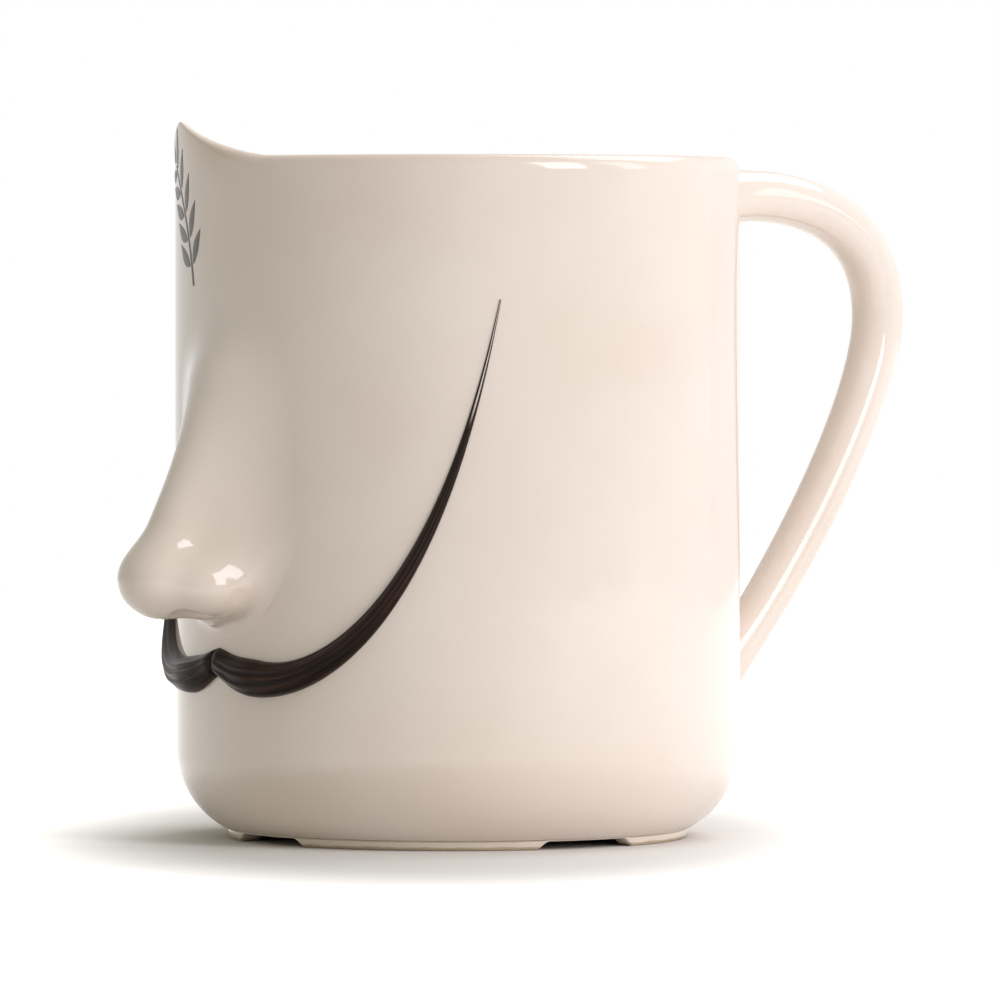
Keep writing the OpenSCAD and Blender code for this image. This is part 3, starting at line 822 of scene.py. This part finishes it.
def noseField(p):
    # below 0 inside the nose, p in its own frame
    n = nose
    base, root, tipAt = n["base"], n["base"] + n["length"], tipMiddle()
    side = p.copy()
    side[:, 0] = np.abs(side[:, 0])
    ridge = rodField(p, (0, -n["rootIn"], root), tipAt + (0, 0, n["ridgeLift"]),
                     n["ridge"], n["tip"] * n["ridgeEnd"])
    top, bottom = n["flankTop"], n["flankFoot"]
    flanks = rodField(p, (0, top[0], root + top[1]), (0, bottom[0], base + bottom[1]),
                      n["flank"] + top[2], n["flank"] + bottom[2])
    ball = eggField(p, tipAt, n["tip"] * np.array(n["tipForm"]))
    wing = n["wing"]
    wings = eggField(side, (n["width"] / 2 - wing[0], n["wingOut"], base + wing[2] + n["wingRise"]), wing)
    septum = rodField(p, (0, -n["rootIn"], base + n["septumRise"]), tipAt + n["septumEnd"], *n["septum"])
    form = ridge
    for lump, soft in zip((flanks, ball, wings, septum), n["soft"]):
        form = melt(form, lump, soft)
    across, out, up = n["nostrilAt"]
    nostril = eggField(side, (across, n["projection"] * out, base + up), n["nostril"])
    form = -melt(-form, nostril, n["nostrilSoft"])
    wall = np.hypot(p[:, 0], cup["radius"] + p[:, 1]) - cup["radius"]
    grown = smoothStep((p[:, 2] - base - n["filletFrom"]) / n["filletOver"])
    return melt(form, wall, mix(n["underFillet"], n["sideFillet"], grown)) + n["feather"]


def halve(inside, low, high):
    for _ in range(nose["halvings"]):
        middle = (low + high) / 2
        within = inside(middle) < 0
        low, high = np.where(within, middle, low), np.where(within, high, middle)
    return (low + high) / 2


def placeNose(along, across):
    n = nose
    middle = n["base"] + n["middle"] * n["length"]
    turn = 2 * math.pi * (across % n["spokes"]) / n["spokes"]
    c, s = np.cos(turn), np.sin(turn)

    def spoke(r, relief):
        return noseFrame(onWall(r * c, middle + r * s, relief))

    # the nose's edge on the wall, one point a spoke
    run = halve(lambda r: noseField(spoke(r, 0.0)), np.ones_like(c), np.full_like(c, n["widest"]))
    edge = spoke(run, 0.0)
    # rays fan out from a heart behind the tip to a spine behind the edge
    heart = np.array([0, 0, middle - n["heartDrop"]])
    pole = unit(tipMiddle() - heart)
    lean, most, depth = n["spine"]
    lowest, highest = n["base"] + n["spineEnds"][0], n["base"] + n["length"] - n["spineEnds"][1]
    spine = np.stack([np.clip(edge[:, 0] * lean, -most, most), np.full_like(c, -depth),
                      np.clip(edge[:, 2], lowest, highest)], 1)
    share = np.clip(along / n["rings"], 0, 1)[:, None]
    start = mix(heart, spine, share)
    rim = unit(edge - spine)
    sweep = np.arccos(np.clip(rim @ pole, -1, 1))[:, None]
    ray = (pole * np.sin(sweep * (1 - share)) + rim * np.sin(sweep * share)) / np.sin(sweep)
    reach = halve(lambda r: noseField(start + ray * r[:, None]), np.zeros_like(c),
                  np.full_like(c, n["farthest"]))
    skin = start + ray * reach[:, None]
    # past the last ring the skin turns down into the wall, and closes on a hidden back
    back = along - n["rings"]
    closing = np.select([back <= 1, back == 2], [1.0, 0.5], 0.0)
    hidden = spoke(run * closing, -n["backDepth"])
    return noseFrame(np.where((back > 0)[:, None], hidden, skin))


noseRelief, _, _ = gridOnForm("noseRelief", nose["rings"] + nose["backRings"], nose["spokes"], placeNose)
closeSkin(noseRelief, nose["mergeAt"] * mm)
smoothSkin(noseRelief, nose["smooth"])
dress(noseRelief, ivory, "glaze", "nose")
print("nose raised:", len(noseRelief.data.vertices), "points")


# moustache: one half combed over the wall, then mirrored

moustache = {
    "line": [(0.0, 27.4), (14.0, 20.4), (36.0, 24.4), (47.0, 80.0)],
    "lobeWidth": 5.4,
    "lobeHeight": 3.0,
    "point": 0.22,
    "lobeAt": 0.2,
    "rootShare": 0.56,
    "shoulder": (2.4, 0.55),  # powers of the section: flat on top, then steep at its edges
    "strands": 4,
    "strandDepth": 0.4,
    "sway": (0.05, 9.0),  # how far and how fast the strands wander along the way
    "fineStrands": 17,
    "fineDepth": 0.035,
    "fineSway": (0.04, 23.0, 3.0),  # the same, and how much the wander differs across
    "groovesFull": 0.1,  # share of the length from which the grooves have their depth
    "seam": 0.12,
    "peak": 1.0,  # rounding of the two halves' common peak, as wide as the solids' first step there
    "cleft": 0.5,  # relief left at the parting
    "rollOver": 0.03,  # share of the length over which the root rolls in there
    "levelOver": 0.04,  # share of the length over which the root's end turns upright
    "sunk": 0.8,  # depth of the hidden back inside the wall
    "runLength": 90.0,  # length that the streaks are drawn over
    # painted shade: how much darker the grooves between strands are coloured
    "grooveShade": 0.75,
    "highlightAt": (0.874, 0.03),  # share of the length where the painted highlight line starts, and over which it fades in
    "highlightLine": (-0.1, 0.34, 0.2),  # middle, half width and soft edge of that painted highlight line, across
    "rows": 340,
    "front": 110,
    "back": 4,
    "mergeAt": 0.001,
    "smooth": 50,
}


def hairTaper(t, full):
    m = moustache
    swell = mix(m["rootShare"], 1.0, smoothStep(t / m["lobeAt"]))
    return m["point"] + (full - m["point"]) * (1 - t) / (1 - m["lobeAt"]) * swell


def hairSway(t):
    far, fast = moustache["sway"]
    return far * np.sin(fast * t)


def combed(q, count, sway):
    return 0.5 - 0.5 * np.cos(math.pi * (count * (q + sway) + count % 2))


def hairSide(across):
    # -1 at the upper edge, 1 at the lower one, and back again behind; the last column is the first again
    m = moustache
    column = across % (m["front"] + m["back"])
    front = column <= m["front"]
    return front, np.where(front, -1 + 2 * column / m["front"], 1 - 2 * (column - m["front"]) / m["back"])


def placeHair(along, across):
    m = moustache
    t = along / m["rows"]
    front, q = hairSide(across)
    middle = bezier(m["line"], t) + np.array([m["seam"] / 2, 0])
    lead = (m["line"][0][1] - m["line"][1][1]) / (m["line"][1][0] - m["line"][0][0])
    middle[:, 1] -= lead / 2 * (np.sqrt(middle[:, 0] ** 2 + m["peak"] ** 2) - middle[:, 0])
    slope = unit(bezierSlope(m["line"], t))
    slope = unit(mix(np.array([[1.0, 0.0]]), slope, smoothStep(t / m["levelOver"])[:, None]))
    down = np.stack([slope[:, 1], -slope[:, 0]], 1)
    place = middle + down * (q * hairTaper(t, m["lobeWidth"]) / 2)[:, None]
    flat, steep = m["shoulder"]
    dome = np.maximum(1 - np.abs(q) ** flat, 0) ** steep
    groove = combed(q, m["strands"], hairSway(t)) * m["strandDepth"]
    far, fast, slant = m["fineSway"]
    fine = combed(q, m["fineStrands"], far * np.sin(fast * t + slant * q)) * m["fineDepth"]
    cut = (groove + fine) * (1 - t) * smoothStep(t / m["groovesFull"])
    height = hairTaper(t, m["lobeHeight"]) * dome - cut * dome
    rootRound = np.sqrt(np.clip(1 - np.clip(1 - t / m["rollOver"], 0, 1) ** 2, 0, 1))
    height = np.where(front, height * mix(m["cleft"], 1.0, rootRound), -m["sunk"])
    return onWall(place[:, 0], place[:, 1], height)


def raiseHair():
    m = moustache
    piece, along, across = gridOnForm("moustacheRight", m["rows"], m["front"] + m["back"], placeHair)
    t = along / m["rows"]
    _, q = hairSide(across)
    writeValue(piece, "strandAlong", t * m["runLength"])
    writeValue(piece, "strandAcross", q * m["lobeWidth"] / 2 + 2 * hairSway(t))
    # painted shade: low in the grooves between strands, 1 on their tops
    writeValue(piece, "paintedGrooveShade", 1 - m["grooveShade"] * combed(q, m["strands"], hairSway(t)))
    # painted highlight: a pale line along the last stretch of each tip, where the gloss glints
    begin, over = m["highlightAt"]
    line, half, soft = m["highlightLine"]
    paintedGlint = smoothStep((t - begin) / over) * smoothStep((half - np.abs(q - line)) / soft)
    writeValue(piece, "paintedTipHighlight", paintedGlint)
    closeSkin(piece, m["mergeAt"] * mm)
    smoothSkin(piece, m["smooth"])
    return piece


def mirrorHair(piece):
    copy = copyOf(piece)
    copy.name = copy.data.name = "moustacheLeft"
    bpy.ops.object.mode_set(mode="EDIT")
    bpy.ops.mesh.select_all(action="SELECT")
    bpy.ops.transform.resize(value=(-1, 1, 1), center_override=(0, 0, 0))
    bpy.ops.mesh.normals_make_consistent(inside=False)
    bpy.ops.object.mode_set(mode="OBJECT")
    return copy


moustacheRight = raiseHair()
moustacheLeft = mirrorHair(moustacheRight)
dress(moustacheRight, hair, "hair_glaze", "moustache_right")
dress(moustacheLeft, hair, "hair_glaze", "moustache_left")
print("moustache combed:", len(moustacheRight.data.vertices), "points a half")


# sprig: printed leaves and stem, drawn flat, copied into place and then wrapped on the wall

sprig = {
    "stem": [(-8.5, 82.0), (-9.8, 88.5), (-12.8, 95.0), (-19.0, 99.6)],
    "stemWidth": 0.7,
    "stemTaper": (1.1, 0.35),  # share of that width at the foot, and how much of it goes by the top
    "leafLength": 5.8,
    "leafWidth": 2.0,
    "leafPoint": 0.1,
    "leafForm": (0.8, 0.9),  # powers that set the widest place, and how full the leaf is
    "leafBow": 0.25,
    "pairs": 5,
    "firstPair": 0.6,  # place of each pair within its share of the stem
    "lean": 42.0,
    "clear": 1.0,
    "ink": 0.06,
    "inkFall": 0.6,  # share of the ink's height that it loses towards its edges
    "bite": 0.1,  # how far the film is let into the glaze
    "stemRows": 48,
    "rows": 30,
    "columns": 6,
    "smooth": 40,
}


def flatStrip(name, rows, shape):
    # a grid shaped in the plane, one unit of ink thick at its middle, then given its underside
    clearHands()
    bpy.ops.mesh.primitive_grid_add(x_subdivisions=rows, y_subdivisions=sprig["columns"], size=1)
    piece = bpy.context.object
    piece.name = piece.data.name = name
    flat = readPoints(piece)
    run, side = flat[:, 0] + 0.5, flat[:, 1] * 2
    spot = shape(run, side)
    film = sprig["ink"] * (1 - sprig["inkFall"] * side ** 2)
    writePoints(piece, np.stack([spot[:, 0], spot[:, 1], film], 1) * mm)
    bpy.ops.object.mode_set(mode="EDIT")
    bpy.ops.mesh.select_all(action="SELECT")
    bpy.ops.mesh.extrude_region_move(
        TRANSFORM_OT_translate={"value": (0, 0, -(sprig["bite"] + sprig["ink"]) * mm)})
    bpy.ops.mesh.select_all(action="SELECT")
    bpy.ops.mesh.normals_make_consistent(inside=False)
    bpy.ops.object.mode_set(mode="OBJECT")
    return piece


def leafShape(run, side):
    widest, full = sprig["leafForm"]
    width = sprig["leafWidth"] * np.abs(np.sin(math.pi * run ** widest)) ** full
    bow = sprig["leafBow"] * np.sin(math.pi * run)
    return np.stack([sprig["leafLength"] * run, side * np.maximum(sprig["leafPoint"], width) / 2 + bow], 1)


def stemShape(run, side):
    slope = unit(bezierSlope(sprig["stem"], run))
    start, loss = sprig["stemTaper"]
    width = sprig["stemWidth"] * (start - loss * run)
    return bezier(sprig["stem"], run) + np.stack([-slope[:, 1], slope[:, 0]], 1) * (side * width / 2)[:, None]


def layLeaf(leaf, share, lean):
    copy = copyOf(leaf)
    slope = bezierSlope(sprig["stem"], np.array([share]))[0]
    bearing = math.atan2(slope[1], slope[0]) + lean
    root = bezier(sprig["stem"], np.array([share]))[0]
    copy.rotation_euler = (0, 0, bearing)
    copy.location = Vector((root[0] + sprig["clear"] * math.cos(bearing),
                            root[1] + sprig["clear"] * math.sin(bearing), 0)) * mm
    bpy.ops.object.transform_apply(location=True, rotation=True, scale=True)
    return copy


stem = flatStrip("leafPrint", sprig["stemRows"], stemShape)
leaf = flatStrip("sprigLeaf", sprig["rows"], leafShape)
leaves = [layLeaf(leaf, 1.0, 0.0)]
for pair in range(sprig["pairs"]):
    for hand in (-1, 1):
        share = (pair + sprig["firstPair"]) / sprig["pairs"]
        leaves.append(layLeaf(leaf, share, hand * math.radians(sprig["lean"])))
throwAway(leaf)
clearHands()
for copy in leaves + [stem]:
    copy.select_set(True)
bpy.context.view_layer.objects.active = stem
bpy.ops.object.join()
leafPrint = bpy.context.object
flat = readPoints(leafPrint) / mm
writePoints(leafPrint, onWall(flat[:, 0], flat[:, 1], flat[:, 2]) * mm)
smoothSkin(leafPrint, sprig["smooth"])
dress(leafPrint, ink, "ink", "leaf_transfer")
print("sprig printed:", len(leafPrint.data.vertices), "points")
